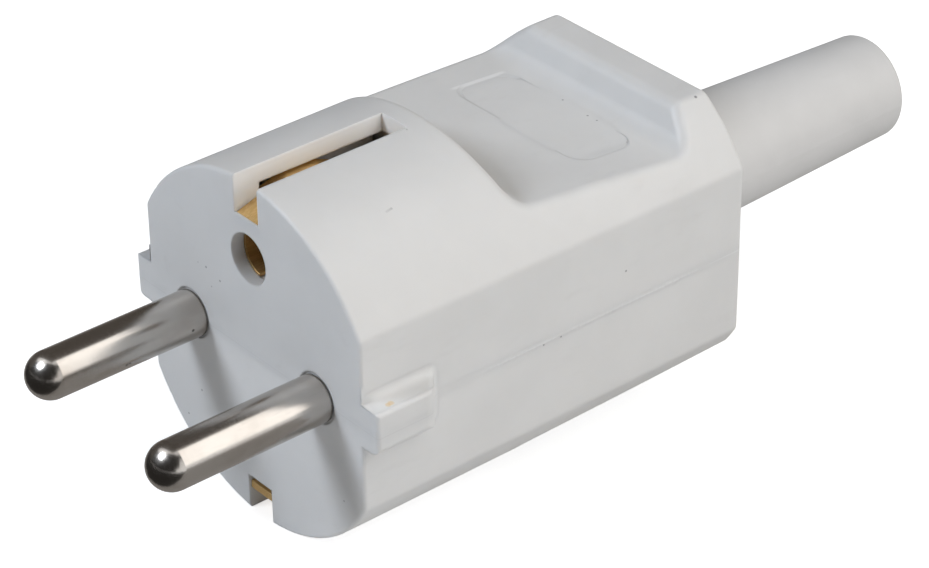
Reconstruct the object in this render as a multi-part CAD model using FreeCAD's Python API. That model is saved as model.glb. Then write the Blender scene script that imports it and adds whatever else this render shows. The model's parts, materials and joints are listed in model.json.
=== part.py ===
"""Type F plug for rewiring, with side earthing contacts and a hole for an earth pin.

Millimetres. The origin is the centre of the front face, between the pins. +X runs along the row of pins,
+Y towards the cord and +Z up. The two halves of the housing meet on the plane z = 0, through both pins.
"""
import math
import os

import FreeCAD
import Part

V = FreeCAD.Vector

# Outside of the housing
BODY_R = 18.5
FLAT_WIDTH = 32.3
BODY_LEN = 47.0
FRONT_EDGE_R = 0.35
REAR_EDGE_R = 0.6
FLAT_EDGE_R = 1.2
SEAM = 0.03

# Walls of the housing
WALL = 1.9
FRONT_WALL = 2.9
REAR_WALL = 2.2
RIB = 1.5

# Finger recess on top and below: step and sloping floor, and on top a ramp and a rear lip
STEP_Y = 19.95
STEP_LEAN = 15.5
STEP_ROUND = 1.8
FLOOR_DEPTH = 5.25
FLOOR_SLOPE = 4.0
RAMP_FOOT = 5.9
RAMP_LEAN = 27.0
RAMP_ROUND = 2.0
LIP_DEPTH = 3.3
LIP_ROUND = 1.5
GRIP_EDGE_R = 1.3

# Bare moulded field on the upper floor
FIELD_X = 19.2
FIELD_Y = 7.4
FIELD_FROM_BACK = 11.6
FIELD_CORNER = 2.2
FIELD_DEPTH = 0.08

# Guide lugs on the flats
LUG_OUT = 2.25
LUG_HEIGHT = 4.5
LUG_LIFT = 0.25
LUG_LEN = 6.5
LUG_RUNOUT = 1.8
LUG_ROUND = 1.6
LUG_EDGE_R = 0.4
LUG_LOW_R = 1.0

# Pins with their terminal heads
PIN_D = 4.8
PIN_LEN = 18.5
PIN_PITCH = 19.0
NECK_D = 3.8
HEAD_WIDTH = 7.0
HEAD_HEIGHT = 6.0
HEAD_LEN = 11.0
HEAD_EDGE = 0.5
WIRE_BORE_D = 3.0
WIRE_BORE_LEN = 8.6
PIN_SINK = 0.2

# Slots, earth bow and earth pin socket
SLOT_WIDTH = 3.6
SLOT_LEN = 17.2
SLOT_DEPTH = 4.0
SLOT_LEDGE = 0.2
STRIP_T = 0.8
STRIP_WIDTH = 5.2
CONTACT_GAP = 0.4
CONTACT_LEN = 3.4
TIP_DROP = 1.75
LOW_TIP_DROP = 0.1
TIP_RUN = 5.6
DIP = 1.3
DIP_RUN = 3.2
BEND_R = 1.5
WEB_SETBACK = 0.8
EARTH_HOLE_DOWN = 8.2
EARTH_HOLE_D = 5.2
SOCKET_BORE_D = 4.9
SOCKET_WALL = 0.65
SOCKET_IN = 1.45
NOSE_WALL = 0.3
SOCKET_SLIT = 1.0
SOCKET_FLOOR = 0.8
SHOULDER_D = 3.8
RIVET_D = 3.0

# Screws, nuts, washer, leaf
TERM_SCREW_D = 3.0
TERM_HEAD_D = 5.2
TERM_HEAD_H = 1.8
TERM_LIFT = 0.4
TERM_FROM_FRONT = 7.4
GUARD_T = 0.4
GUARD_WIDTH = 1.9
GUARD_UP = 0.55
GUARD_TAB = 2.3
EARTH_SCREW_D = 3.5
EARTH_HEAD_D = 6.0
EARTH_HEAD_H = 2.1
EARTH_NUT = 6.0
EARTH_NUT_T = 2.4
EARTH_WASHER = 6.4
EARTH_WASHER_T = 0.9
SCREW_TAIL = 1.2
HOUSE_SCREW_D = 3.0
HOUSE_HEAD_D = 6.0
HOUSE_HEAD_H = 2.2
HOUSE_SINK = 3.0
HOUSE_NUT = 5.5
HOUSE_NUT_T = 2.4
HOUSE_NUT_Z = 3.0
BOSS_WALL = 1.3
BOSS_ROOM = 0.4
DRIVER_SLOT = 0.8
DRIVER_DEPTH = 1.0

# Cord clamp
CLAMP_ROOM = 0.3
CLAMP_WIDTH = 5.0
CLAMP_T = 2.6
CLAMP_ARCH = 2.0
CLAMP_PITCH = 19.0
CLAMP_SCREW_D = 3.0
CLAMP_HEAD_D = 5.4
CLAMP_HEAD_H = 1.8
CLAMP_SCREW_LEN = 5.4
CLAMP_Z = -2.0
POST_D = 6.2

# Locating pegs between the halves
PEG_D = 2.4
PEG_LEN = 1.8
PEG_FROM_FRONT = 24.6
PEG_WALL = 1.0

# Bend-protection sleeve, a little low and drooping as a soft piece does
SLEEVE_ROOT_D = 13.6
SLEEVE_END_D = 11.2
SLEEVE_LEN = 33.9
SLEEVE_BORE_D = 8.8
SLEEVE_END_R = 0.7
FLANGE_D = 17.2
FLANGE_T = 1.6
FLANGE_RIB = 1.2
SLEEVE_DROP = 0.5
SLEEVE_DROOP = 0.45
CORD_GAP_D = 10.4

# Clearances
FIT = 0.05
SLIDE = 0.2
LOOSE = 0.35

FLAT_X = FLAT_WIDTH / 2
INNER_R = BODY_R - WALL
INNER_X = FLAT_X - WALL
PIN_X = PIN_PITCH / 2
REAR_Y = BODY_LEN - REAR_WALL
FLOOR_Z = BODY_R - FLOOR_DEPTH
LIP_Z = BODY_R - LIP_DEPTH
STEP_TAN = math.tan(math.radians(STEP_LEAN))
FLOOR_TAN = math.tan(math.radians(FLOOR_SLOPE))
RAMP_TAN = math.tan(math.radians(RAMP_LEAN))
RAMP_Y = BODY_LEN - RAMP_FOOT
HEAD_Y = FRONT_WALL + FIT
HEAD_END = HEAD_Y + HEAD_LEN
WEB_Y = SLOT_LEN + WEB_SETBACK
CONTACT_Z = INNER_R - CONTACT_GAP
TERM_Y = HEAD_Y + TERM_FROM_FRONT
PARTITION_OUT = PIN_X - HEAD_WIDTH / 2 - SLIDE
PARTITION_IN = PARTITION_OUT - RIB
EARTH_HOLE_Z = BODY_R - EARTH_HOLE_DOWN
NOSE_D = SOCKET_BORE_D + 2 * NOSE_WALL
EARTH_END = WEB_Y + EARTH_WASHER_T + EARTH_HEAD_H
BOSS_R = HOUSE_HEAD_D / 2 + LOOSE + BOSS_WALL
HOUSE_Y = EARTH_END + BOSS_ROOM + BOSS_R
CLAMP_Y = HOUSE_Y + BOSS_R + CLAMP_ROOM + CLAMP_WIDTH / 2


def floor_z(y):
    """Height of the recess floor at a place along the plug."""
    return FLOOR_Z - FLOOR_TAN * (y - STEP_Y)


def box(x0, x1, y0, y1, z0, z1):
    return Part.makeBox(x1 - x0, y1 - y0, z1 - z0, V(x0, y0, z0))


def along_y(d, y0, y1, x=0.0, z=0.0):
    return Part.makeCylinder(d / 2, y1 - y0, V(x, y0, z), V(0, 1, 0))


def along_z(d, z0, z1, x=0.0, y=0.0):
    return Part.makeCylinder(d / 2, z1 - z0, V(x, y, z0), V(0, 0, 1))


def below(shape):
    """The same piece on the other side of the seam plane."""
    return shape.mirror(V(0, 0, 0), V(0, 0, 1))


def left(shape):
    """The same piece on the other side of the plane between the pins."""
    return shape.mirror(V(0, 0, 0), V(1, 0, 0))


def both(shape):
    return shape.fuse(left(shape))


def rounded_edges(points, radii, closed=True):
    """Straight legs through the points, with each corner rounded by its own radius."""
    count = len(points)
    ends = []
    for k in range(count):
        here = points[k]
        if radii[k] <= 0 or (not closed and k in (0, count - 1)):
            ends.append((here, None, here))
            continue
        to_last = (points[k - 1] - here).normalize()
        to_next = (points[(k + 1) % count] - here).normalize()
        half = to_last.getAngle(to_next) / 2
        reach = radii[k] / math.tan(half)
        middle = (to_last + to_next).normalize() * (radii[k] / math.sin(half) - radii[k])
        ends.append((here + to_last * reach, here + middle, here + to_next * reach))
    edges = []
    for k in range(count):
        start, middle, stop = ends[k]
        if middle is not None:
            edges.append(Part.Arc(start, middle, stop).toShape())
        if closed or k < count - 1:
            following = ends[(k + 1) % count][0]
            if stop.distanceToPoint(following) > 1e-7:
                edges.append(Part.makeLine(stop, following))
    return edges


def prism(points, radii, direction):
    """A solid with a rounded outline, drawn out along one direction."""
    face = Part.Face(Part.Wire(Part.__sortEdges__(rounded_edges(points, radii))))
    return face.extrude(direction)


def yz_prism(corners, half_width):
    """A solid with an outline drawn from the side, as wide on both sides of x = 0."""
    points = [V(-half_width, y, z) for y, z in corners]
    return prism(points, [0] * len(points), V(2 * half_width, 0, 0))


def grip_space(lip):
    """What a finger recess takes from the round, with a ramp and a rear lip if asked for."""
    past = BODY_LEN + WALL
    top = BODY_R + WALL
    foot = STEP_Y + STEP_TAN * FLOOR_DEPTH / (1 - STEP_TAN * FLOOR_TAN)
    ramp_z = floor_z(RAMP_Y)
    corners = [(STEP_Y - STEP_TAN * WALL, top, 0), (foot, floor_z(foot), STEP_ROUND)]
    if lip:
        corners.append((RAMP_Y, ramp_z, RAMP_ROUND))
        corners.append((RAMP_Y + RAMP_TAN * (LIP_Z - ramp_z), LIP_Z, LIP_ROUND))
        corners.append((past, LIP_Z, 0))
    else:
        corners.append((past, floor_z(past), 0))
    corners.append((past, top, 0))
    points = [V(-top, y, z) for y, z, r in corners]
    return prism(points, [r for y, z, r in corners], V(2 * top, 0, 0))


def outside():
    """The closed housing as one solid, without lugs or openings."""
    solid = along_y(2 * BODY_R, 0, BODY_LEN).common(box(-FLAT_X, FLAT_X, 0, BODY_LEN, -BODY_R, BODY_R))
    long_edges = [e for e in solid.Edges if e.BoundBox.YLength > BODY_LEN / 2]
    solid = solid.makeFillet(FLAT_EDGE_R, long_edges)
    front_edges = [e for e in solid.Edges if e.BoundBox.YMax < 1e-6]
    solid = solid.makeFillet(FRONT_EDGE_R, front_edges)
    solid = solid.cut(grip_space(True)).cut(below(grip_space(False)))
    rims = [e for e in solid.Edges if e.BoundBox.YMin > STEP_Y - FLAT_EDGE_R and e.BoundBox.YLength > 1e-6]
    solid = solid.makeFillet(GRIP_EDGE_R, rims)
    rear_edges = [e for e in solid.Edges if e.BoundBox.YMin > BODY_LEN - 1e-6]
    return solid.makeFillet(REAR_EDGE_R, rear_edges)


def guide_lug():
    """The lug on the right flat, split later with the halves."""
    inside = FLAT_X - WALL / 2
    outer = FLAT_X + LUG_OUT
    end = LUG_LEN + LUG_RUNOUT
    low = LUG_LIFT - LUG_HEIGHT / 2
    high = LUG_LIFT + LUG_HEIGHT / 2
    plan = [V(inside, 0, low), V(outer, 0, low), V(outer, LUG_LEN, low), V(FLAT_X, end, low), V(inside, end, low)]
    solid = prism(plan, [0, LUG_EDGE_R, LUG_ROUND, 0, 0], V(0, 0, LUG_HEIGHT))
    section = [V(inside, 0, low), V(outer, 0, low), V(outer, 0, high), V(inside, 0, high)]
    return solid.common(prism(section, [0, LUG_LOW_R, LUG_EDGE_R, 0], V(0, end, 0)))


def room():
    """The space inside the closed housing, one wall in from the outside."""
    space = along_y(2 * INNER_R, FRONT_WALL, REAR_Y)
    space = space.common(box(-INNER_X, INNER_X, FRONT_WALL, REAR_Y, -INNER_R, INNER_R))
    top = BODY_R + WALL
    drop = WALL / math.cos(math.radians(FLOOR_SLOPE))
    back = WALL / math.cos(math.radians(STEP_LEAN))
    foot = STEP_Y + STEP_TAN * FLOOR_DEPTH
    ceiling = yz_prism([
        (STEP_Y - back - STEP_TAN * WALL, top),
        (foot - back, floor_z(foot) - drop),
        (BODY_LEN, floor_z(BODY_LEN) - drop),
        (BODY_LEN, top),
    ], BODY_R)
    return space.cut(ceiling).cut(below(ceiling))


def sleeve_line(shape):
    """Moves a piece drawn along Y to the axis of the sleeve, which sits low and droops."""
    shape.rotate(V(0, BODY_LEN, 0), V(1, 0, 0), -SLEEVE_DROOP)
    shape.translate(V(0, 0, -SLEEVE_DROP))
    return shape


def turned(profile):
    """A solid turned about the Y axis, from (radius, y) corners."""
    points = [V(r, y, 0) for r, y in profile]
    face = Part.Face(Part.makePolygon(points + points[:1]))
    return face.revolve(V(0, 0, 0), V(0, 1, 0), 360)


def sleeve_seat():
    """The room for the sleeve's flange and neck in both halves, and the way in for the cord."""
    groove = REAR_Y - FLANGE_T
    pocket = REAR_Y + SLIDE
    flange_r = FLANGE_D / 2 + SLIDE
    neck_r = SLEEVE_ROOT_D / 2 + FIT
    cord_r = CORD_GAP_D / 2
    seat = turned([
        (0, CLAMP_Y), (cord_r, CLAMP_Y), (cord_r, groove), (flange_r, groove), (flange_r, pocket), (neck_r, pocket),
        (neck_r, BODY_LEN + WALL), (0, BODY_LEN + WALL)])
    return sleeve_line(seat)


def contact_slot(tip_drop):
    """The slot for the socket's earthing clip, with room below its floor for the bow's tip."""
    floor = BODY_R - SLOT_DEPTH
    half = SLOT_WIDTH / 2
    slot = box(-half, half, -WALL, SLOT_LEN, floor, BODY_R + WALL)
    pocket_low = min(floor, CONTACT_Z - tip_drop - STRIP_T - SLIDE)
    return slot.fuse(box(-half, half, SLOT_LEDGE, FRONT_WALL + FIT, pocket_low, floor + FIT))


def pin_hole():
    """Bore in the front wall round the right pin's neck, with a shallow sink behind its shoulder."""
    neck = along_y(NECK_D + 2 * FIT, -WALL, FRONT_WALL + WALL, PIN_X)
    return neck.fuse(along_y(PIN_D + 2 * SLIDE, -WALL, PIN_SINK, PIN_X))


def partition():
    """Wall between the right terminal and the earth, in the upper half."""
    return box(PARTITION_IN, PARTITION_OUT, FRONT_WALL - RIB / 2, WEB_Y, 0, BODY_R)


def cradle(y):
    """Cross rib that carries the right terminal head, in the upper half."""
    return box(PARTITION_IN + RIB / 2, FLAT_X, y, y + RIB, HEAD_HEIGHT / 2 + FIT, BODY_R)


def bow_stop():
    """Block behind the bow's upper bend."""
    top = CONTACT_Z - DIP
    return box(-STRIP_WIDTH / 2, STRIP_WIDTH / 2, WEB_Y + FIT, STEP_Y + WALL, top - 2 * WALL, BODY_R)


def cord_rib():
    """Cross rib in front of the sleeve's flange, in the upper half."""
    rear = REAR_Y - FLANGE_T - SLIDE
    return box(-FLAT_X, FLAT_X, rear - FLANGE_RIB, rear, 0, BODY_R)


def peg_x():
    return INNER_X - PEG_D / 2


def shell_half(body, tip_drop):
    """What both halves share, as the upper one, cut from the closed body."""
    inner = room()
    upper = box(-2 * BODY_R, 2 * BODY_R, -WALL, BODY_LEN + WALL, SEAM / 2, 2 * BODY_R)
    half = body.cut(inner).common(upper)
    ribs = both(partition()).fuse(both(cradle(HEAD_Y + RIB)))
    ribs = ribs.fuse(bow_stop()).fuse(cord_rib())
    ribs = ribs.fuse(both(along_z(PEG_D + 2 * PEG_WALL, 0, BODY_R, peg_x(), PEG_FROM_FRONT)))
    ribs = ribs.fuse(along_z(2 * BOSS_R, 0, BODY_R, 0, HOUSE_Y))
    half = half.fuse(ribs.common(inner).common(upper))
    return half.cut(contact_slot(tip_drop)).cut(both(pin_hole()))


def upper_shell(half):
    field_y = BODY_LEN - FIELD_FROM_BACK
    half = half.cut(along_y(EARTH_HOLE_D, -WALL, FRONT_WALL + FIT, 0, EARTH_HOLE_Z))
    half = half.cut(along_y(NOSE_D + 2 * FIT, SOCKET_IN, FRONT_WALL + FIT, 0, EARTH_HOLE_Z))
    half = half.cut(both(along_z(PEG_D + 2 * SLIDE, -WALL, PEG_LEN + SLIDE, peg_x(), PEG_FROM_FRONT)))
    tip = HOUSE_NUT_Z + HOUSE_NUT_T + SCREW_TAIL + LOOSE
    half = half.cut(along_z(HOUSE_SCREW_D + 2 * SLIDE, -WALL, tip, 0, HOUSE_Y))
    side = HOUSE_NUT / 2 + SLIDE
    pocket = box(-side, side, HOUSE_Y - side, HOUSE_Y + BOSS_R + WALL, HOUSE_NUT_Z - FIT, HOUSE_NUT_Z + HOUSE_NUT_T + FIT)
    half = half.cut(pocket.common(room()))
    x = FIELD_X / 2
    y = FIELD_Y / 2
    corners = [V(-x, -y, -FIELD_DEPTH), V(x, -y, -FIELD_DEPTH), V(x, y, -FIELD_DEPTH), V(-x, y, -FIELD_DEPTH)]
    field = prism(corners, [FIELD_CORNER] * 4, V(0, 0, WALL))
    field.rotate(V(0, 0, 0), V(1, 0, 0), -FLOOR_SLOPE)
    field.translate(V(0, field_y, floor_z(field_y)))
    return half.cut(field).cut(sleeve_seat())


def lower_shell(half):
    shell = below(half)
    inner = room()
    rear_cradle = below(both(cradle(HEAD_END - 2 * RIB)))
    posts = both(along_z(POST_D, -BODY_R, CLAMP_Z - CLAMP_T / 2, CLAMP_PITCH / 2, CLAMP_Y))
    shell = shell.fuse(rear_cradle.fuse(posts).common(inner))
    shell = shell.fuse(both(along_z(PEG_D, -WALL, PEG_LEN, peg_x(), PEG_FROM_FRONT)))
    seat = house_seat_z()
    shell = shell.cut(along_z(HOUSE_SCREW_D + 2 * SLIDE, seat - WALL, WALL, 0, HOUSE_Y))
    shell = shell.cut(along_z(HOUSE_HEAD_D + 2 * LOOSE, -2 * BODY_R, seat, 0, HOUSE_Y))
    base = CLAMP_Z - CLAMP_T / 2
    pilot = along_z(CLAMP_SCREW_D + 2 * FIT, base - CLAMP_SCREW_LEN, base + WALL, CLAMP_PITCH / 2, CLAMP_Y)
    return shell.cut(both(pilot)).cut(sleeve_seat())


def house_seat_z():
    """Face under the head of the housing screw, sunk below the lower recess."""
    return -floor_z(HOUSE_Y) + HOUSE_SINK


def pin(side):
    """Turned pin with a round nose, a shoulder level with the face, a neck in the wall and a terminal head behind it."""
    nose = PIN_D / 2
    neck = NECK_D / 2
    outline = [V(0, -PIN_LEN, 0), V(nose, -PIN_LEN, 0), V(nose, 0, 0), V(neck, 0, 0)]
    outline += [V(neck, HEAD_Y + FIT, 0), V(0, HEAD_Y + FIT, 0)]
    face = Part.Face(Part.Wire(Part.__sortEdges__(rounded_edges(outline, [0, nose, 0, 0, 0, 0]))))
    solid = face.revolve(V(0, 0, 0), V(0, 1, 0), 360)
    solid.translate(V(PIN_X, 0, 0))
    half_w = HEAD_WIDTH / 2
    half_h = HEAD_HEIGHT / 2
    head = box(PIN_X - half_w, PIN_X + half_w, HEAD_Y, HEAD_END, -half_h, half_h)
    head = head.makeChamfer(HEAD_EDGE, [e for e in head.Edges if e.BoundBox.YLength > HEAD_LEN / 2])
    solid = solid.fuse(head)
    solid = solid.cut(along_y(WIRE_BORE_D, HEAD_END - WIRE_BORE_LEN, HEAD_END + WALL, PIN_X))
    solid = solid.cut(along_z(TERM_SCREW_D + 2 * FIT, 0, HEAD_HEIGHT, PIN_X, TERM_Y))
    return solid if side > 0 else left(solid)


def terminal_screw():
    """Screw of the right terminal, standing on the wire guard."""
    tip = GUARD_UP + GUARD_T
    under = HEAD_HEIGHT / 2 + TERM_LIFT
    top = under + TERM_HEAD_H
    solid = along_z(TERM_SCREW_D, tip, under, PIN_X, TERM_Y)
    solid = solid.fuse(along_z(TERM_HEAD_D, under, top, PIN_X, TERM_Y))
    return solid.cut(box(PIN_X - TERM_HEAD_D, PIN_X + TERM_HEAD_D, TERM_Y - DRIVER_SLOT / 2, TERM_Y + DRIVER_SLOT / 2,
                         top - DRIVER_DEPTH, top + WALL))


def wire_guard():
    """Bent leaf in the right wire bore, with its tab up against the back of the head."""
    half = GUARD_WIDTH / 2
    start = HEAD_END - WIRE_BORE_LEN + SLIDE
    back = HEAD_END + GUARD_T
    leaf = box(PIN_X - half, PIN_X + half, start, back, GUARD_UP, GUARD_UP + GUARD_T)
    return leaf.fuse(box(PIN_X - half, PIN_X + half, HEAD_END, back, GUARD_UP, GUARD_TAB))


def bow_path(tip_drop):
    """Outer face of the bow's upper half from its tip to the web, seen from the side."""
    first = SLOT_LEDGE + FIT
    rise = first + TIP_RUN
    flat = rise + CONTACT_LEN
    dip = flat + DIP_RUN
    low = CONTACT_Z - DIP
    return [(first, CONTACT_Z - tip_drop), (rise, CONTACT_Z), (flat, CONTACT_Z), (dip, low), (WEB_Y, low)]


def beside(points, distance):
    """The path at one distance to the right of a path of straight legs."""
    moved = []
    last = len(points) - 1
    for k, here in enumerate(points):
        legs = []
        if k > 0:
            legs.append((here - points[k - 1]).normalize())
        if k < last:
            legs.append((points[k + 1] - here).normalize())
        sides = [V(0, d.z, -d.y) for d in legs]
        total = sides[0] if len(sides) == 1 else sides[0] + sides[1]
        unit = V(total).normalize()
        moved.append(here + unit * (distance / unit.dot(sides[0])))
    return moved


def earth_bow():
    """One strip bent into both side contacts and the web between them, with its holes."""
    upper = bow_path(TIP_DROP)
    lower = [(y, -z) for y, z in reversed(bow_path(LOW_TIP_DROP))]
    outer = [V(-STRIP_WIDTH / 2, y, z) for y, z in upper + lower]
    inner = beside(outer, STRIP_T)
    turns = [0, -1, -1, 1, -1]
    turns = turns + turns[::-1]
    outer_r = [0 if t == 0 else BEND_R + (STRIP_T if t < 0 else 0) for t in turns]
    inner_r = [0 if t == 0 else BEND_R + (STRIP_T if t > 0 else 0) for t in turns]
    edges = rounded_edges(outer, outer_r, False) + rounded_edges(inner, inner_r, False)
    edges.append(Part.makeLine(outer[0], inner[0]))
    edges.append(Part.makeLine(outer[-1], inner[-1]))
    strip = Part.Face(Part.Wire(Part.__sortEdges__(edges))).extrude(V(STRIP_WIDTH, 0, 0))
    tongue = SLOT_WIDTH / 2 - FIT
    trim = box(tongue, BODY_R, -WALL, FRONT_WALL + SLIDE, -BODY_R, BODY_R)
    strip = strip.cut(both(trim))
    strip = strip.cut(along_y(EARTH_SCREW_D + 2 * FIT, WEB_Y - WALL, WEB_Y + WALL))
    return strip.cut(along_y(RIVET_D + 2 * FIT, WEB_Y - WALL, WEB_Y + WALL, 0, EARTH_HOLE_Z))


def earth_pin_socket():
    """Slit tube with a thin nose in the earth pin hole, riveted to the bow's web by its closed end."""
    start = SOCKET_IN + FIT
    front = FRONT_WALL + FIT
    web = WEB_Y - STRIP_T
    end = web - BEND_R
    solid = along_y(SOCKET_BORE_D + 2 * SOCKET_WALL, front, end, 0, EARTH_HOLE_Z)
    solid = solid.fuse(along_y(NOSE_D, start, end, 0, EARTH_HOLE_Z))
    solid = solid.fuse(along_y(SHOULDER_D, end, web, 0, EARTH_HOLE_Z))
    solid = solid.fuse(along_y(RIVET_D, web, WEB_Y, 0, EARTH_HOLE_Z))
    floor = end - SOCKET_FLOOR
    solid = solid.cut(along_y(SOCKET_BORE_D, start - WALL, floor, 0, EARTH_HOLE_Z))
    low = EARTH_HOLE_Z - SOCKET_BORE_D / 2 - 2 * SOCKET_WALL
    return solid.cut(box(-SOCKET_SLIT / 2, SOCKET_SLIT / 2, start - WALL, floor, low, EARTH_HOLE_Z))


def earth_terminal_nut():
    half = EARTH_NUT / 2
    back = WEB_Y - STRIP_T
    solid = box(-half, half, back - EARTH_NUT_T, back, -half, half)
    return solid.cut(along_y(EARTH_SCREW_D + 2 * FIT, 0, WEB_Y))


def earth_clamp_washer():
    half = EARTH_WASHER / 2
    solid = box(-half, half, WEB_Y, WEB_Y + EARTH_WASHER_T, -half, half)
    solid = solid.makeFillet(EARTH_WASHER_T, [e for e in solid.Edges if e.BoundBox.YLength > EARTH_WASHER_T / 2])
    return solid.cut(along_y(EARTH_SCREW_D + 2 * SLIDE, 0, WEB_Y + WALL))


def earth_terminal_screw():
    under = WEB_Y + EARTH_WASHER_T
    top = under + EARTH_HEAD_H
    solid = along_y(EARTH_SCREW_D, WEB_Y - STRIP_T - EARTH_NUT_T - SCREW_TAIL, under)
    solid = solid.fuse(along_y(EARTH_HEAD_D, under, top))
    return solid.cut(box(-EARTH_HEAD_D, EARTH_HEAD_D, top - DRIVER_DEPTH, top + WALL, -DRIVER_SLOT / 2, DRIVER_SLOT / 2))


def housing_screw():
    """Closing screw, put in from below, with a slotted head on its sunk seat."""
    seat = house_seat_z()
    low = seat - HOUSE_HEAD_H
    solid = along_z(HOUSE_SCREW_D, seat, HOUSE_NUT_Z + HOUSE_NUT_T + SCREW_TAIL, 0, HOUSE_Y)
    solid = solid.fuse(along_z(HOUSE_HEAD_D, low, seat, 0, HOUSE_Y))
    return solid.cut(box(-HOUSE_HEAD_D, HOUSE_HEAD_D, HOUSE_Y - DRIVER_SLOT / 2, HOUSE_Y + DRIVER_SLOT / 2,
                         low - WALL, low + DRIVER_DEPTH))


def housing_nut():
    half = HOUSE_NUT / 2
    solid = box(-half, half, HOUSE_Y - half, HOUSE_Y + half, HOUSE_NUT_Z, HOUSE_NUT_Z + HOUSE_NUT_T)
    return solid.cut(along_z(HOUSE_SCREW_D + 2 * FIT, 0, 2 * BODY_R, 0, HOUSE_Y))


def cord_clamp():
    """Arched bar over the cord, with a hole at each end."""
    half = CLAMP_WIDTH / 2
    low = CLAMP_Z - CLAMP_T / 2
    end = CLAMP_PITCH / 2
    bar = box(-end, end, CLAMP_Y - half, CLAMP_Y + half, low, low + CLAMP_T)
    bar = bar.fuse(both(along_z(CLAMP_WIDTH, low, low + CLAMP_T, end, CLAMP_Y)))
    arch = along_y(SLEEVE_BORE_D + 2 * CLAMP_ARCH, CLAMP_Y - half, CLAMP_Y + half, 0, -SLEEVE_DROP)
    arch = arch.common(box(-BODY_R, BODY_R, 0, BODY_LEN, low, BODY_R))
    bar = bar.fuse(arch).cut(along_y(SLEEVE_BORE_D, 0, BODY_LEN, 0, -SLEEVE_DROP))
    return bar.cut(both(along_z(CLAMP_SCREW_D + 2 * SLIDE, -BODY_R, BODY_R, end, CLAMP_Y)))


def cord_clamp_screw():
    top = CLAMP_Z + CLAMP_T / 2
    x = CLAMP_PITCH / 2
    solid = along_z(CLAMP_SCREW_D, top - CLAMP_T - CLAMP_SCREW_LEN + LOOSE, top, x, CLAMP_Y)
    solid = solid.fuse(along_z(CLAMP_HEAD_D, top, top + CLAMP_HEAD_H, x, CLAMP_Y))
    return solid.cut(box(x - CLAMP_HEAD_D, x + CLAMP_HEAD_D, CLAMP_Y - DRIVER_SLOT / 2, CLAMP_Y + DRIVER_SLOT / 2,
                         top + CLAMP_HEAD_H - DRIVER_DEPTH, BODY_R))


def cable_sleeve():
    """Soft sleeve: flange between the halves, neck in the rear wall and a tapering tail."""
    flange = REAR_Y + SLIDE - FIT
    front = flange - FLANGE_T
    end = BODY_LEN + SLEEVE_LEN
    root = SLEEVE_ROOT_D / 2
    tail = SLEEVE_END_D / 2
    bore = SLEEVE_BORE_D / 2
    points = [V(bore, front, 0), V(FLANGE_D / 2, front, 0), V(FLANGE_D / 2, flange, 0), V(root, flange, 0)]
    points += [V(root, BODY_LEN, 0), V(tail, end, 0), V(bore, end, 0)]
    wire = Part.Wire(Part.__sortEdges__(rounded_edges(points, [0, 0, 0, 0, 0, SLEEVE_END_R, 0])))
    return sleeve_line(Part.Face(wire).revolve(V(0, 0, 0), V(0, 1, 0), 360))


def main():
    closed = outside().fuse(both(guide_lug()))
    nodes = {
        "upper_shell": upper_shell(shell_half(closed, TIP_DROP)),
        "lower_shell": lower_shell(shell_half(below(closed), LOW_TIP_DROP)),
        "left_pin": pin(-1),
        "right_pin": pin(1),
        "pin_terminal_screws": Part.makeCompound([terminal_screw(), left(terminal_screw())]),
        "left_wire_guard": left(wire_guard()),
        "right_wire_guard": wire_guard(),
        "earth_bow": earth_bow(),
        "earth_pin_socket": earth_pin_socket(),
        "earth_terminal_nut": earth_terminal_nut(),
        "earth_clamp_washer": earth_clamp_washer(),
        "earth_terminal_screw": earth_terminal_screw(),
        "housing_screw": housing_screw(),
        "housing_nut": housing_nut(),
        "cord_clamp": cord_clamp(),
        "cord_clamp_screws": Part.makeCompound([cord_clamp_screw(), left(cord_clamp_screw())]),
        "cable_sleeve": cable_sleeve(),
    }
    os.makedirs("parts", exist_ok=True)
    for name, shape in nodes.items():
        shape.exportStep("parts/" + name + ".step")


main()
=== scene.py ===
"""Finishes, parting seam, studio and camera for the rewireable type F plug, in the frame of the solids.
Sizes of the plug are in mm here and become metres by MM; the studio and the camera are in metres."""
import json
import math

import bpy
import numpy as np
from mathutils import Matrix, Vector


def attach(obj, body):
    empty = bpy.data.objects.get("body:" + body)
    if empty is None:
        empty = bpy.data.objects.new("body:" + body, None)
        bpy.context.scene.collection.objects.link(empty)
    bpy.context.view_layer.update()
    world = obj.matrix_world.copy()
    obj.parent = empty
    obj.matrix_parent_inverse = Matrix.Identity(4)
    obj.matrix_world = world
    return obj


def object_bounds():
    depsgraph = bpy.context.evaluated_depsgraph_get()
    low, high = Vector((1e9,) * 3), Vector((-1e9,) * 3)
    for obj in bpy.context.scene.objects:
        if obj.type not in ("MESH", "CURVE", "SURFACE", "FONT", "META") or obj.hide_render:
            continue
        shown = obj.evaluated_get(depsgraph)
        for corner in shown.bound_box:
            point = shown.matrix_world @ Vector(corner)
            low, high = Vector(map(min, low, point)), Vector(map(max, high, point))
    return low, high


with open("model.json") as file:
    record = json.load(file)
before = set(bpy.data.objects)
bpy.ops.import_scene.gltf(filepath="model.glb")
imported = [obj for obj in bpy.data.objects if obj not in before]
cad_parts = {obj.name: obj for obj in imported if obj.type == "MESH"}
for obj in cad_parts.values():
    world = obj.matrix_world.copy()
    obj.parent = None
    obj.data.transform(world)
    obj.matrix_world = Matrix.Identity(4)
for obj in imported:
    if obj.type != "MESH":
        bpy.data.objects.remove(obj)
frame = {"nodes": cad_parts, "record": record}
cad_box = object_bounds()
MM = 0.001

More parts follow.
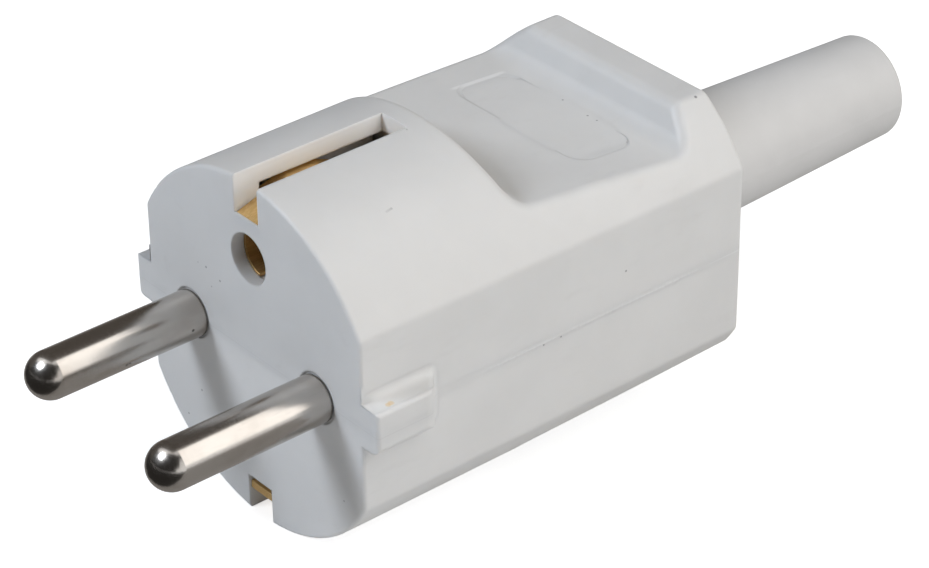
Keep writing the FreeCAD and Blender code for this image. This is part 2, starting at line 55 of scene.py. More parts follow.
# Housing as in the solids: flat, guide lugs, pins and sleeve
FLAT_X = 16.15
BODY_LEN = 47.0
REAR_ROUND = 0.6
LUG_X = 18.4
LUG_LEN = 6.5
LUG_END = 8.3
LUG_TOP = 2.5
LUG_LOW = -2.0
LUG_ROUND = 1.6
LUG_EDGE = 0.4
LUG_LOW_EDGE = 1.0
LUG_FILLET = 1.1
PIN_X = 9.5
PIN_R = 2.4
SLEEVE_R = 6.8

# Nose of a pin: past its start the shading falls by so much for each mm, which draws the crisp edge
NOSE_START = 16.1
NOSE_FALL = 0.2

# Upper recess floor and the bare field sunk in it, as in the solids
FLOOR_LEVEL = 13.25
FLOOR_START = 19.95
FLOOR_SLOPE = math.radians(4.0)
FIELD_HALF = (9.6, 3.7)
FIELD_MIDDLE = 35.4
FIELD_CORNER = 2.2
FIELD_DEPTH = 0.08

# Sheets over the field: how far they lie off the floor, the width of the left slope, and the fill
# with its limits in x at the front edge and at the rear one
FIELD_COVER = 0.001
SLOPE_WIDTH = 0.42
FILL_INSET = 0.8
FILL_MARGIN = 0.4
FILL_START = (-5.6, -8.2)
FILL_END = (8.5, 8.8)
FILL_RISE = 4.0
FILL_FALL = 2.5

# Painted highlight along the field's left edge: where it starts, is full, is last full and ends
PAINTED_HIGHLIGHT_X = (-9.75, -9.6, -9.35, -9.1)
PAINTED_HIGHLIGHT_Y = (31.5, 32.5, 38.2, 39.0)
PAINTED_HIGHLIGHT_Z = (10.0, 10.5)

# Seam: a flush strip with a faint line of painted shade in its middle, standing for the shade in its narrow
# gap, and the thin ragged flash that stands on it, painted paler as a painted highlight
SEAM_RISE = 0.0015
SEAM_HALF = 0.34
SEAM_LINE = 0.07
SEAM_STEP = 0.06
SEAM_FADE = 1.0
PIN_GAP = 0.2
SLEEVE_GAP = 0.05
FLASH_HALF = 0.11
FLASH_COLUMNS = 9
FLASH_FROM = 13.0
FLASH_FULL = 19.0
FLASH_TO = 42.5
FLASH_FADE = 3.0
FLASH_RISE = 0.05
FLASH_WAVES = [(7.3, 0.0), (13.1, 1.0), (3.7, 2.0), (29.0, 0.4)]
FLASH_MEAN = 0.55
FLASH_SWING = 0.22
FLASH_LIMITS = (0.05, 1.2)
NEAR_FLAT = 0.01

# Hollow rounds at the lugs: grid, how far it reaches past the lug, taper behind the face, thinnest fill shown
ROUNDS_STEP = 0.12
ROUNDS_FRONT = 0.02
ROUNDS_BEHIND = 2.6
ROUNDS_BESIDE = 2.0
ROUNDS_TAPER = 1.6
ROUNDS_SKIN = 0.006
PLAN_STEP = 0.05
SHARP = 0.01

# Room of the upper slot, whose walls are painted brighter: painted light that stands for light glowing
# through the plastic from all its walls
SLOT_HALF = 1.8
SLOT_LOW = 14.4
SLOT_BACK = 17.2
SLOT_FADE = 0.12
SLOT_RISE = 0.2

# Small dark marks on the housing: place and radius, and how dark
MARKS = [
    ((-6.82, 0.0, 6.28), 0.16, 0.6), ((-4.69, 0.0, 5.76), 0.15, 0.6), ((-6.1, 0.0, 4.49), 0.10, 0.5),
    ((-8.08, 0.0, 6.24), 0.09, 0.5), ((-8.76, 0.0, -8.45), 0.15, 0.6), ((-11.23, 0.0, -12.38), 0.14, 0.6),
    ((13.06, 0.0, -9.55), 0.12, 0.6), ((9.22, 8.85, 16.04), 0.17, 0.16), ((9.2, 9.05, 16.05), 0.17, 0.2),
    ((9.17, 9.25, 16.07), 0.17, 0.24), ((9.15, 9.45, 16.08), 0.17, 0.3), ((2.11, 17.03, 18.38), 0.14, 0.3),
    ((-1.43, 39.3, 11.9), 0.15, 0.6), ((2.51, 39.01, 11.92), 0.16, 0.6), ((3.79, 39.05, 11.91), 0.14, 0.6),
    ((8.74, 38.42, 11.96), 0.14, 0.6), ((10.74, 45.42, 15.1), 0.22, 0.7), ((16.15, 31.73, 3.68), 0.16, 0.6),
    ((16.15, 21.49, -0.22), 0.13, 0.6), ((16.15, 23.63, -0.21), 0.13, 0.6),
]
# Part of a mark's radius that is evenly dark
MARK_CORE = 0.45
# Crumb of brass on the right lug, and dark marks on the left pin: place and radius
BRASS_CRUMB = [((17.55, 1.9, 2.5), 0.36), ((17.5, 2.25, 2.5), 0.4)]
PIN_MARKS = [((-7.11, -1.68, -0.16), 0.22), ((-7.25, -9.18, -0.84), 0.2), ((-7.23, -8.85, -0.8), 0.16)]

# Colours of the finishes: a pair where clouds, bloom, lines or patches run between two
MOULDING = ((0.73, 0.73, 0.725, 1), (0.76, 0.76, 0.755, 1))
SMEAR = (0.67, 0.665, 0.655, 1)
DUST = (0.55, 0.54, 0.53, 1)
SLOT_PAINTED_LIGHT = (0.95, 0.95, 0.945, 1)
PAINTED_HIGHLIGHT = (0.90, 0.90, 0.90, 1)
SEAM_PAINTED_SHADE = (0.66, 0.655, 0.65, 1)
FLASH_PAINTED_HIGHLIGHT = (0.88, 0.88, 0.88, 1)
MARK_DARK = (0.10, 0.10, 0.11, 1)
CRUMB = (0.74, 0.52, 0.24, 1)
SLEEVE = ((0.665, 0.662, 0.658, 1), (0.695, 0.692, 0.688, 1))
SLEEVE_DRAWN = (0.66, 0.65, 0.63, 1)
NICKEL = ((0.58, 0.55, 0.515, 1), (0.49, 0.45, 0.41, 1))
SCRATCH = (0.36, 0.33, 0.30, 1)
PIN_DARK = (0.05, 0.045, 0.04, 1)
BRASS = ((0.86, 0.62, 0.30, 1), (0.76, 0.52, 0.22, 1))
TARNISH = (0.30, 0.17, 0.07, 1)
ZINC = ((0.56, 0.57, 0.60, 1), (0.66, 0.66, 0.66, 1))


class Tint:
    """A shader value or colour: one socket, with arithmetic as Math nodes and other nodes through add()."""

    def __init__(self, tree, socket=None):
        self.tree = tree
        self.socket = socket

    def add(self, kind, settings=None, inputs=None, out=0):
        """One node of a kind: its settings first, then the values or links of its sockets."""
        node = self.tree.nodes.new("ShaderNode" + kind)
        for name, value in (settings or {}).items():
            setattr(node, name, value)
        for name, value in (inputs or {}).items():
            if isinstance(value, Tint):
                self.tree.links.new(value.socket, node.inputs[name])
            else:
                node.inputs[name].default_value = value
        return Tint(self.tree, node.outputs[out] if len(node.outputs) else None)

    def math(self, operation, first, second):
        """One Math node on two values."""
        return self.add("Math", {"operation": operation}, {0: first, 1: second})

    def __add__(self, other):
        return self.math("ADD", self, other)

    def __radd__(self, other):
        return self.math("ADD", other, self)

    def __sub__(self, other):
        return self.math("SUBTRACT", self, other)

    def __rsub__(self, other):
        return self.math("SUBTRACT", other, self)

    def __mul__(self, other):
        return self.math("MULTIPLY", self, other)

    def __rmul__(self, other):
        return self.math("MULTIPLY", other, self)

    def larger(self, other):
        """The larger of two values."""
        return self.math("MAXIMUM", self, other)

    def ramp(self, low, high):
        """Goes smoothly from 0 at low to 1 at high, and stays level outside; high may be the smaller one."""
        return self.add("MapRange", {"interpolation_type": "SMOOTHSTEP"}, {0: self, 1: low, 2: high})

    def band(self, start, full, last, end):
        """Goes smoothly from 0 at start to 1 at full, and from 1 at last to 0 at end, all in mm."""
        return self.ramp(start * MM, full * MM) * self.ramp(end * MM, last * MM)

    def mix(self, none, full):
        """The colour between two colours, by this value from 0 to 1."""
        return self.add("Mix", {"data_type": "RGBA"}, {0: self, 6: none, 7: full}, 2)

    def along(self, axis):
        """How far a place lies along one axis, in metres."""
        return self.add("SeparateXYZ", inputs={0: self}, out=axis)

    def near(self, spot, radius):
        """1 in the core of a round mark on the piece, falling to 0 one radius from its middle, both in mm."""
        middle = tuple(v * MM for v in spot)
        away = self.add("VectorMath", {"operation": "DISTANCE"}, {0: self, 1: middle}, "Value")
        return away.ramp(radius * MM, radius * MM * MARK_CORE)

    def noise(self, size, detail=2.0, stretch=(1, 1, 1)):
        """Cloudy noise with spots about one size in mm across, drawn out by the stretch along each axis."""
        scale = tuple(1 / s for s in stretch)
        place = self.add("Mapping", {"vector_type": "POINT"}, {"Vector": self, "Scale": scale})
        return self.add("TexNoise", {"noise_dimensions": "3D"},
                        {"Vector": place, "Scale": 1 / (size * MM), "Detail": detail, "Roughness": 0.55})


def painted(name, shade):
    """A material whose surface is the shader that shade() makes in its empty tree."""
    material = bpy.data.materials.new(name)
    material.use_nodes = True
    material.node_tree.nodes.clear()
    start = Tint(material.node_tree)
    start.add("OutputMaterial", inputs={"Surface": shade(start)})
    return material


def finish(name, paint):
    """A material whose Principled shader takes what paint() works out from the place on a piece."""
    return painted(name, lambda start: start.add("BsdfPrincipled",
                                                 inputs=paint(start.add("TexCoord", out="Object"))))


def rough_skin(place, height, strength, distance, edge):
    """Normal of a surface with edges softened by a radius, raised by height times a distance, both in mm."""
    soft = place.add("Bevel", {"samples": 4}, {"Radius": edge * MM})
    return place.add("Bump", inputs={"Height": height, "Strength": strength, "Distance": distance * MM,
                                     "Normal": soft})


def white_moulding(place):
    """Satin white plastic: faint clouds, smears and dust, a fine spark-eroded grain, slot walls painted
    brighter as painted light, a painted highlight along the field's left edge, painted shade along the seam's
    line and a painted highlight on its flash, a few dark marks and a crumb of brass on a lug, each mixed over
    the ones before."""
    clouds = place.noise(9.0, detail=3.0)
    grain = place.noise(0.22, detail=3.0)
    smear = place.noise(2.4, detail=4.0, stretch=(1, 3, 1))
    dust = place.noise(0.35, detail=1.0).ramp(0.79, 0.86)
    shades = [place.near(spot, radius) * depth for spot, radius, depth in MARKS]
    marks = shades[0]
    for shade in shades[1:]:
        marks = marks.larger(shade)
    x, y, z = (place.along(axis) for axis in "XYZ")
    seam = (z * z).ramp((SEAM_LINE * MM) ** 2, 0.0)
    on_front = y.ramp((LUG_END + SEAM_FADE) * MM, LUG_END * MM)
    on_flash = y.ramp(FLASH_FROM * MM, FLASH_FULL * MM) * smear.ramp(0.35, 0.6)
    slot = (x * x).ramp((SLOT_HALF + SLOT_FADE) ** 2 * MM ** 2, SLOT_HALF ** 2 * MM ** 2)
    slot = slot * z.ramp(SLOT_LOW * MM, (SLOT_LOW + SLOT_RISE) * MM)
    slot = slot * y.ramp((SLOT_BACK + SLOT_FADE) * MM, SLOT_BACK * MM)
    painted_highlight = x.band(*PAINTED_HIGHLIGHT_X) * y.band(*PAINTED_HIGHLIGHT_Y) * z.ramp(PAINTED_HIGHLIGHT_Z[0] * MM, PAINTED_HIGHLIGHT_Z[1] * MM)
    white = clouds.ramp(0.3, 0.7).mix(*MOULDING)
    white = (smear.ramp(0.58, 0.8) * 0.35).mix(white, SMEAR)
    white = (dust * 0.3).mix(white, DUST)
    # Painted light: the upper slot's walls painted brighter, standing for light that glows through the
    # plastic
    white = slot.mix(white, SLOT_PAINTED_LIGHT)
    # Painted highlight: a paler band along the field's left edge
    white = (painted_highlight * 0.8).mix(white, PAINTED_HIGHLIGHT)
    # Painted shade: a faint darker line along the seam on the face and the lugs, standing for the shade in
    # its narrow gap
    white = (seam * on_front * 0.5).mix(white, SEAM_PAINTED_SHADE)
    # Painted highlight: the flash on the flats painted paler, standing for the light it catches
    white = (seam * on_flash * 0.6).mix(white, FLASH_PAINTED_HIGHLIGHT)
    white = marks.mix(white, MARK_DARK)
    for spot, radius in BRASS_CRUMB:
        white = (place.near(spot, radius) * 0.55).mix(white, CRUMB)
    return {
        "Base Color": white,
        "Roughness": clouds * 0.10 + smear * 0.10 + 0.33,
        "IOR": 1.5,
        "Subsurface Weight": 0.3,
        "Subsurface Radius": (1.0, 0.9, 0.8),
        "Subsurface Scale": 1.2 * MM,
        "Normal": rough_skin(place, grain + smear * 0.6, strength=0.12, distance=0.03, edge=0.3),
    }


def soft_sleeve(place):
    """Softer, warmer white: low clouds, a little more grain and faint marks drawn out along the sleeve."""
    clouds = place.noise(6.0, detail=3.0)
    grain = place.noise(0.3)
    drawn = place.noise(1.6, detail=3.0, stretch=(1, 5, 1))
    white = clouds.ramp(0.3, 0.7).mix(*SLEEVE)
    white = (drawn.ramp(0.6, 0.8) * 0.3).mix(white, SLEEVE_DRAWN)
    return {
        "Base Color": white,
        "Roughness": clouds * 0.12 + 0.46,
        "IOR": 1.48,
        "Normal": rough_skin(place, grain + drawn * 0.5, strength=0.16, distance=0.03, edge=0.2),
    }


def nickel_plate(place):
    """Nickel on turned brass: rings from the lathe, fine scratches along the pin, a duller, browner bloom
    and dark marks. The nose's height is the lesser of 0 and how far a place lies behind the nose's start."""
    rings = place.noise(0.16, stretch=(12, 1, 12))
    scratches = place.noise(0.12, stretch=(1, 30, 1))
    bloom = place.noise(3.0, detail=3.0, stretch=(1, 2, 1))
    metal = bloom.ramp(0.35, 0.75).mix(*NICKEL)
    metal = (scratches.ramp(0.62, 0.8) * 0.35).mix(metal, SCRATCH)
    for spot, radius in PIN_MARKS:
        metal = (place.near(spot, radius) * 0.8).mix(metal, PIN_DARK)
    skin = rough_skin(place, rings + scratches * 0.5, strength=0.25, distance=0.012, edge=0.08)
    nose = place.math("MINIMUM", place.along("Y") + NOSE_START * MM, 0.0)
    crisp = {"Height": nose, "Strength": 1.0, "Distance": NOSE_FALL, "Normal": skin}
    return {
        "Base Color": metal,
        "Metallic": 1.0,
        "Roughness": bloom * 0.10 + rings * 0.10 + 0.12,
        "Normal": place.add("Bump", inputs=crisp),
    }


def rolled_brass(place):
    """Rolled brass strip: lines along the roll and brown tarnish in patches."""
    lines = place.noise(0.14, stretch=(1, 25, 1))
    tarnish = place.noise(1.8, detail=4.0)
    metal = lines.ramp(0.3, 0.7).mix(*BRASS)
    metal = (tarnish.ramp(0.55, 0.78) * 0.6).mix(metal, TARNISH)
    return {
        "Base Color": metal,
        "Metallic": 1.0,
        "Roughness": tarnish * 0.20 + lines * 0.08 + 0.36,
        "Normal": rough_skin(place, lines, strength=0.12, distance=0.012, edge=0.08),
    }


def zinc_plate(place):
    """Zinc on steel: a fine dull grain with paler and bluer patches."""
    patches = place.noise(0.9, detail=3.0)
    grain = place.noise(0.15)
    return {
        "Base Color": patches.ramp(0.3, 0.7).mix(*ZINC),
        "Metallic": 1.0,
        "Roughness": patches * 0.15 + 0.28,
        "Normal": rough_skin(place, grain, strength=0.12, distance=0.015, edge=0.08),
    }


FINISHES = {
    "housing": finish("white_moulding", white_moulding),
    "clamp": finish("white_moulding_inside", white_moulding),
    "sleeve": finish("soft_sleeve", soft_sleeve),
    "nickel": finish("nickel_plate", nickel_plate),
    "brass": finish("rolled_brass", rolled_brass),
    "steel": finish("zinc_plate", zinc_plate),
}

for subpart in frame["record"]["subparts"]:
    for holder in frame["nodes"][subpart["node"]].material_slots:
        holder.material = FINISHES[subpart["material_slot"]]


def surface(name, grid):
    """A mesh from a grid of places (rows, columns, 3) in mm: one four-sided face in each cell."""
    rows, columns, _ = grid.shape
    index = np.arange(rows * columns).reshape(rows, columns)
    quads = np.stack([index[:-1, :-1], index[1:, :-1], index[1:, 1:], index[:-1, 1:]], -1).reshape(-1, 4)
    mesh = bpy.data.meshes.new(name)
    mesh.vertices.add(rows * columns)
    mesh.vertices.foreach_set("co", (grid * MM).astype(np.float32).ravel())
    mesh.loops.add(quads.size)
    mesh.loops.foreach_set("vertex_index", quads.ravel().astype(np.int32))
    mesh.polygons.add(len(quads))
    mesh.polygons.foreach_set("loop_start", np.arange(0, quads.size, 4, dtype=np.int32))
    mesh.polygons.foreach_set("use_smooth", np.ones(len(quads), bool))
    mesh.update(calc_edges=True)
    piece = bpy.data.objects.new(name, mesh)
    bpy.context.scene.collection.objects.link(piece)
    return piece


def housing_piece(name, grid, side=1):
    """A sheet of the housing's plastic from a grid drawn for the right side. Side -1 is its mirror image
    in x, with the columns turned round so that its faces still point outwards."""
    if side < 0:
        grid = (grid * (-1, 1, 1))[:, ::-1]
    piece = surface(name, grid)
    piece.data.materials.append(FINISHES["housing"])
    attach(piece, "root")


def smooth(value):
    """3 v^2 - 2 v^3 of a value held between 0 and 1: level at both ends."""
    value = np.clip(value, 0, 1)
    return value * value * (3 - 2 * value)


def rounded_line(corners, step):
    """Points one step apart along straight legs in the seam plane, each inner corner an arc of its radius.
    A corner's arc starts and ends radius * tan(turn / 2) from it, and its centre lies on the inner side."""
    spots = np.array([c[:2] for c in corners], float)
    radii = np.array([c[2] for c in corners], float)
    legs = np.diff(spots, axis=0)
    ways = legs / np.linalg.norm(legs, axis=1)[:, None]
    runs = []
    start = spots[0]
    for k in range(1, len(spots) - 1):
        before, after = ways[k - 1], ways[k]
        turn = math.atan2(before[0] * after[1] - before[1] * after[0], before @ after)
        cut = radii[k] * math.tan(abs(turn) / 2)
        arc_in = spots[k] - before * cut
        side = math.copysign(1.0, turn)
        centre = arc_in + side * radii[k] * np.array([-before[1], before[0]])
        sweep = np.linspace(0, turn, max(3, int(abs(turn) * radii[k] / step) + 2))
        spoke = arc_in - centre
        arc = centre + np.stack([spoke[0] * np.cos(sweep) - spoke[1] * np.sin(sweep),
                                 spoke[0] * np.sin(sweep) + spoke[1] * np.cos(sweep)], -1)
        count = max(2, int(np.linalg.norm(arc_in - start) / step) + 1)
        runs += [start + np.linspace(0, 1, count, endpoint=False)[:, None] * (arc_in - start), arc[:-1]]
        start = arc[-1]
    count = max(2, int(np.linalg.norm(spots[-1] - start) / step) + 1)
    runs.append(start + np.linspace(0, 1, count)[:, None] * (spots[-1] - start))
    return np.concatenate(runs)


def seam_strip(name, corners, side):
    """Flush strip over the parting seam with its flash: a low arch carried along the outline of the housing.
    At a place s along the line and u mm across it, the height over the skin is
    flash(s) * (1 - (u / FLASH_HALF) ** 2) where that is above the strip, and SEAM_RISE elsewhere.
    On the flat, flash(s) is a sum of waves between two limits, faded at both ends; elsewhere it is 0."""
    line = rounded_line(corners, SEAM_STEP)
    along = np.gradient(line, axis=0)
    along /= np.linalg.norm(along, axis=1)[:, None]
    outward = np.stack([along[:, 1], -along[:, 0]], -1)
    y = line[:, 1]
    on_flat = np.abs(line[:, 0] - FLAT_X) < NEAR_FLAT
    waves = sum(np.sin(y * pace + shift) for pace, shift in FLASH_WAVES)
    ragged = np.clip(FLASH_MEAN + FLASH_SWING * waves, *FLASH_LIMITS)
    grow = np.clip((y - FLASH_FROM) / (FLASH_FULL - FLASH_FROM), 0, 1)
    fade = np.clip((FLASH_TO - y) / FLASH_FADE, 0, 1)
    flash = np.where(on_flat, ragged * grow * fade * FLASH_RISE, 0.0)
    across = np.concatenate([[-SEAM_HALF], np.linspace(-FLASH_HALF, FLASH_HALF, FLASH_COLUMNS), [SEAM_HALF]])
    height = np.maximum(flash[:, None] * (1 - (across / FLASH_HALF) ** 2), SEAM_RISE)
    grid = np.empty((len(line), len(across), 3))
    grid[:, :, :2] = line[:, None, :] + outward[:, None, :] * height[:, :, None]
    grid[:, :, 2] = across
    housing_piece(name, grid, side)


# Corners of the seam's lines: x, y and radius
SIDE_LINE = [
    (PIN_X + PIN_R + PIN_GAP, 0.0, 0.0), (LUG_X, 0.0, LUG_EDGE), (LUG_X, LUG_LEN, LUG_ROUND),
    (FLAT_X, LUG_END, LUG_FILLET), (FLAT_X, BODY_LEN, REAR_ROUND), (SLEEVE_R + SLEEVE_GAP, BODY_LEN, 0.0),
]
FACE_LINE = [(-PIN_X + PIN_R + PIN_GAP, 0.0, 0.0), (0.0, 0.0, 0.0), (PIN_X - PIN_R - PIN_GAP, 0.0, 0.0)]
seam_strip("right_seam", SIDE_LINE, 1)
seam_strip("left_seam", SIDE_LINE, -1)
seam_strip("face_seam", FACE_LINE, 1)


def on_floor(x, y, depth):
    """Places a depth below the recess floor, from x and the way along the slope from the field's middle:
    (x, y, -depth) turned about the x axis by the floor's slope and moved to the field's middle."""
    level = FLOOR_LEVEL - math.tan(FLOOR_SLOPE) * (FIELD_MIDDLE - FLOOR_START)
    x, y, z = np.broadcast_arrays(x, y, -depth)
    cos, sin = math.cos(FLOOR_SLOPE), math.sin(FLOOR_SLOPE)
    return np.stack([x, FIELD_MIDDLE + y * cos + z * sin, level - y * sin + z * cos], -1)


def field_runout():
    """Fill in the sunk field that rises level with the floor in its middle, so that its long edges fade out.
    The fill is smooth in x at both of its limits, which shift from the front edge to the rear one."""
    x = np.linspace(-FIELD_HALF[0] + FILL_INSET, FIELD_HALF[0] - FILL_INSET, 90)[:, None]
    y = np.linspace(-FIELD_HALF[1] - FILL_MARGIN, FIELD_HALF[1] + FILL_MARGIN, 40)[None, :]
    to_rear = smooth((y + FIELD_HALF[1]) / (2 * FIELD_HALF[1]))
    start = FILL_START[0] + (FILL_START[1] - FILL_START[0]) * to_rear
    end = FILL_END[0] + (FILL_END[1] - FILL_END[0]) * to_rear
    fill = smooth((x - start) / FILL_RISE) * smooth((end - x) / FILL_FALL)
    housing_piece("field_runout", on_floor(x, y, FIELD_DEPTH * (1 - fill) - FIELD_COVER))


def field_slope():
    """A soft slope along the field's left end and its rounded corners: two quarter arcs whose radius shrinks
    by SLOPE_WIDTH while the depth grows from 0 to the field's own."""
    wide, long = FIELD_HALF
    turns = 12
    sweep = np.radians(np.concatenate([np.linspace(270, 180, turns), np.linspace(180, 90, turns)]))[:, None]
    centre_y = np.repeat([FIELD_CORNER - long, long - FIELD_CORNER], turns)[:, None]
    inward = np.linspace(0, 1, 5)[None, :]
    radius = FIELD_CORNER - inward * SLOPE_WIDTH
    x = FIELD_CORNER - wide + radius * np.cos(sweep)
    y = centre_y + radius * np.sin(sweep)
    housing_piece("field_slope", on_floor(x, y, FIELD_DEPTH * inward - FIELD_COVER))


def rolled(height, offsets, drop, take):
    """The highest, or lowest, neighbour of each place under a ball whose drop from its top is given for each
    offset: take() of height at the offset plus drop."""
    reach = max(abs(o) for pair in offsets for o in pair)
    wide = np.pad(height, reach, mode="edge")
    rows, columns = height.shape
    result = None
    for (i, j), fall in zip(offsets, drop):
        seen = wide[reach + i:reach + i + rows, reach + j:reach + j + columns] + fall
        result = seen if result is None else take(result, seen)
    return result


def lug_section(z):
    """Height of a lug over the flat at each z: level, with a quarter round on top and a larger one below."""
    from_top = np.clip(LUG_EDGE - (LUG_TOP - z), 0, LUG_EDGE)
    from_low = np.clip(LUG_LOW_EDGE - (z - LUG_LOW), 0, LUG_LOW_EDGE)
    upper = LUG_X - FLAT_X - LUG_EDGE + np.sqrt(LUG_EDGE ** 2 - from_top ** 2)
    lower = LUG_X - FLAT_X - LUG_LOW_EDGE + np.sqrt(LUG_LOW_EDGE ** 2 - from_low ** 2)
    return np.where((z < LUG_TOP) & (z > LUG_LOW), np.minimum(upper, lower), 0)


# Corners of a lug's outline seen from above: x, y and radius
LUG_PLAN = [
    (FLAT_X, 0.0, 0.0), (LUG_X, 0.0, LUG_EDGE), (LUG_X, LUG_LEN, LUG_ROUND), (FLAT_X, LUG_END, SHARP),
    (FLAT_X, BODY_LEN, 0.0),
]


def lug_rounds(name, side):
    """Hollow rounds where a guide lug meets the flat, as a ball rolled round the lug leaves them.
    The lug's height over the flat is the lesser of its plan line and its section. Rolling the ball over it
    from outside (highest, then lowest neighbours) fills the corners. The fill falls to nothing at the front
    edge, and where there is none the sheet lies just under the lug."""
    y = np.arange(ROUNDS_FRONT, LUG_END + ROUNDS_BEHIND, ROUNDS_STEP)
    z = np.arange(LUG_LOW - ROUNDS_BESIDE, LUG_TOP + ROUNDS_BESIDE, ROUNDS_STEP)
    plan = rounded_line(LUG_PLAN, PLAN_STEP)
    lug = np.minimum(np.interp(y, plan[:, 1], plan[:, 0])[:, None] - FLAT_X, lug_section(z)[None, :])
    reach = int(LUG_FILLET / ROUNDS_STEP)
    steps = range(-reach, reach + 1)
    offsets = [(i, j) for i in steps for j in steps if i * i + j * j <= reach ** 2]
    drop = [math.sqrt(max(LUG_FILLET ** 2 - (i * i + j * j) * ROUNDS_STEP ** 2, 0)) - LUG_FILLET
            for i, j in offsets]
    filled = rolled(rolled(lug, offsets, drop, np.maximum), offsets, [-d for d in drop], np.minimum)
    fill = (filled - lug) * smooth(y / ROUNDS_TAPER)[:, None]
    height = np.where(fill > ROUNDS_SKIN, lug + fill, lug - ROUNDS_SKIN)
    grid = np.stack(np.broadcast_arrays(FLAT_X + height, y[:, None], z[None, :]), -1)
    housing_piece(name, grid, side)


field_runout()
field_slope()
lug_rounds("right_lug_rounds", 1)
lug_rounds("left_lug_rounds", -1)


def board(name, centre, across, up, paint):
    """A flat four-sided board of the studio: centre plus or minus half of each of its edges, in metres."""
    centre, across, up = (np.array(v, float) / MM for v in (centre, across, up))
    half = np.array([-0.5, 0.5])
    piece = surface(name, centre + half[:, None, None] * across + half[None, :, None] * up)
    piece.data.materials.append(paint)
    return piece


def seen_white(start):
    """1 for a ray from the camera, or one that a glossy or clear surface sends on: the largest of three."""
    camera_ray, glossy, clear = (start.add("LightPath", out=ray)
                                 for ray in ("Is Camera Ray", "Is Glossy Ray", "Is Transmission Ray"))
    return camera_ray.larger(glossy).larger(clear)


def floor_shade(start):
    """Pale floor: plain diffuse plus a lift to white for what sees it as a background; the shadow stays."""
    plain = start.add("BsdfDiffuse", inputs={"Color": (0.80, 0.80, 0.80, 1)})
    lift = start.add("Emission", inputs={"Color": (1, 1, 1, 1), "Strength": seen_white(start) * 0.7})
    return start.add("AddShader", inputs={0: plain, 1: lift})


def card_paint(name, colour):
    """A card of one even colour, that only reflections show."""
    return painted(name, lambda start: start.add("Emission", inputs={"Color": colour, "Strength": 1.0}))


floor_z = cad_box[0][2]
board("floor", (0, 0, floor_z), (6, 0, 0), (0, 6, 0), painted("pale_floor", floor_shade))

# Cards: centre and both edges in metres. Those that lie low are just above the floor
LOW = floor_z + 0.0001
LOW_FRONT = floor_z + 0.0002
black = card_paint("black_card", (0.03, 0.028, 0.026, 1))
dark = card_paint("dark_card", (0.10, 0.088, 0.078, 1))
# Painted shade: dim sheets on the floor that only the metal sees, standing for the floor's shade under and
# beside the plug in its reflections
painted_floor_shade = card_paint("painted_floor_shade_card", (0.31, 0.30, 0.29, 1))
bright = card_paint("bright_card", (1.9, 1.85, 1.8, 1))
CARDS = [
    ("card_over", (-0.35, 0.25, 0.55), (0.9, 0.0, 0.55), (0.0, 1.0, 0.0), dark),
    ("card_left", (-0.6, 0.2, 0.1), (0.0, 1.4, 0.0), (0.0, 0.0, 0.6), dark),
    ("card_front", (0.0, -1.1, 0.5), (3.0, 0.0, 0.0), (0.0, 0.0, 1.2), black),
    ("card_eye", (0.52, -0.69, 0.75), (1.04, 0.78, 0.0), (-0.47, 0.63, 0.906), black),
    ("card_low_front", (-0.2, -0.328, LOW_FRONT), (0.9, 0.0, 0.0), (0.0, 0.6, 0.0), black),
    ("card_low_near", (-0.2, -0.0165, LOW), (0.9, 0.0, 0.0), (0.0, 0.023, 0.0), painted_floor_shade),
    ("card_low", (0.2, 0.1975, LOW), (0.6, 0.0, 0.0), (0.0, 0.405, 0.0), painted_floor_shade),
    ("card_low_left", (-0.4, 0.395, LOW), (0.6, 0.0, 0.0), (0.0, 0.8, 0.0), painted_floor_shade),
    ("card_band", (0.34, 0.36, 0.37), (-0.55, 0.0, 0.53), (-0.14, 0.30, -0.14), bright),
]
for name, centre, across, up, paint in CARDS:
    card = board(name, centre, across, up, paint)
    card.visible_camera = False
    card.visible_diffuse = False
    card.visible_shadow = False
    card.visible_transmission = False

HOUSING_MIDDLE = Vector((0, 0.02, 0))


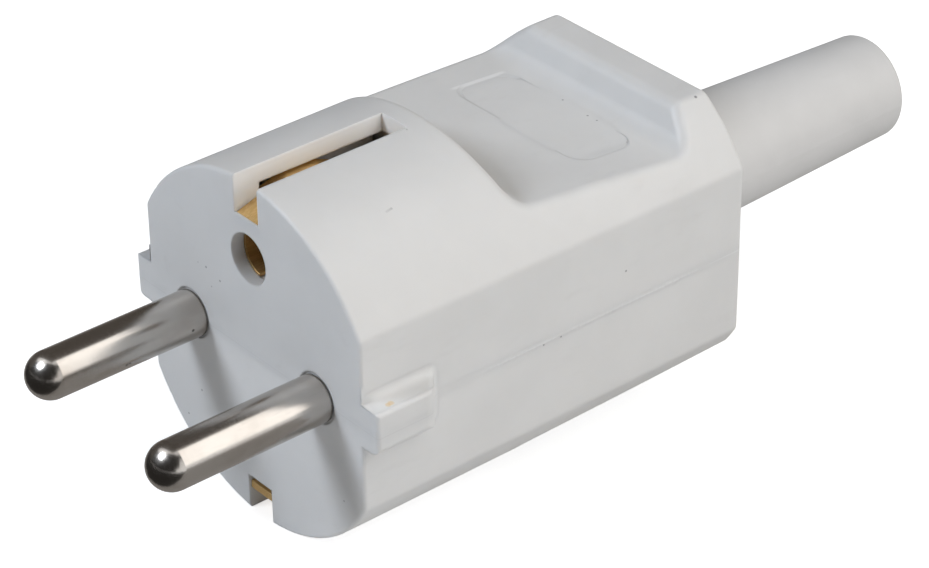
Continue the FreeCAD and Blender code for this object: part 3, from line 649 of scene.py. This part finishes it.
def lamp(name, toward, distance, size, watts, colour):
    """A soft square lamp at one distance in one direction from the middle of the housing, aimed at it."""
    light = bpy.data.lights.new(name, "AREA")
    light.shape = "SQUARE"
    light.size = size
    light.energy = watts
    light.color = colour
    holder = bpy.data.objects.new(name, light)
    bpy.context.scene.collection.objects.link(holder)
    way = Vector(toward).normalized()
    holder.location = HOUSING_MIDDLE + way * distance
    holder.rotation_euler = way.to_track_quat("Z", "Y").to_euler()
    holder.visible_camera = False
    return holder


key = lamp("key", (0.61, 0.48, 0.63), 0.62, 0.50, 0.55, (1.0, 0.99, 0.98))
side = lamp("side", (0.85, 0.30, 0.40), 0.62, 0.50, 1.60, (1.0, 0.99, 0.975))
lamp("front_left", (-0.31, -0.72, 0.59), 0.8, 0.25, 3.45, (0.845, 0.905, 0.99))
over = lamp("over", (0.38, 0.15, 0.92), 0.8, 0.60, 1.9, (1.0, 0.965, 0.92))
for unseen in (key, side, over):
    unseen.visible_glossy = False

# Room: white where it is seen, and nearly dark as a light
world = bpy.data.worlds.new("studio")
bpy.context.scene.world = world
world.use_nodes = True
world.node_tree.nodes.clear()
room = Tint(world.node_tree)
shade = seen_white(room).mix((0.02, 0.02, 0.02, 1), (1, 1, 1, 1))
glow = room.add("Background", inputs={"Color": shade, "Strength": 1.0})
room.add("OutputWorld", inputs={"Surface": glow})

# Camera of the photograph, for a frame of 929 by 568
FRAME_WIDTH = 929
FOCAL_PIXELS = 3301.208
SENSOR_MM = 36.0
camera = bpy.data.cameras.new("camera")
camera.sensor_fit = "HORIZONTAL"
camera.sensor_width = SENSOR_MM
camera.lens = FOCAL_PIXELS * SENSOR_MM / FRAME_WIDTH
camera.clip_start = 0.01
camera.clip_end = 20.0
eye = bpy.data.objects.new("camera", camera)
bpy.context.scene.collection.objects.link(eye)
right = Vector((0.64340608, 0.76545578, -0.0102991))
up = Vector((-0.40173002, 0.34906649, 0.84662009))
back = Vector((0.65164531, -0.54058306, 0.53209806))
turn = Matrix((right, up, back)).transposed().to_4x4()
eye.matrix_world = Matrix.Translation((0.20855499, -0.14757499, 0.16746526)) @ turn
bpy.context.scene.camera = eye

bpy.context.scene.view_settings.view_transform = "Standard"
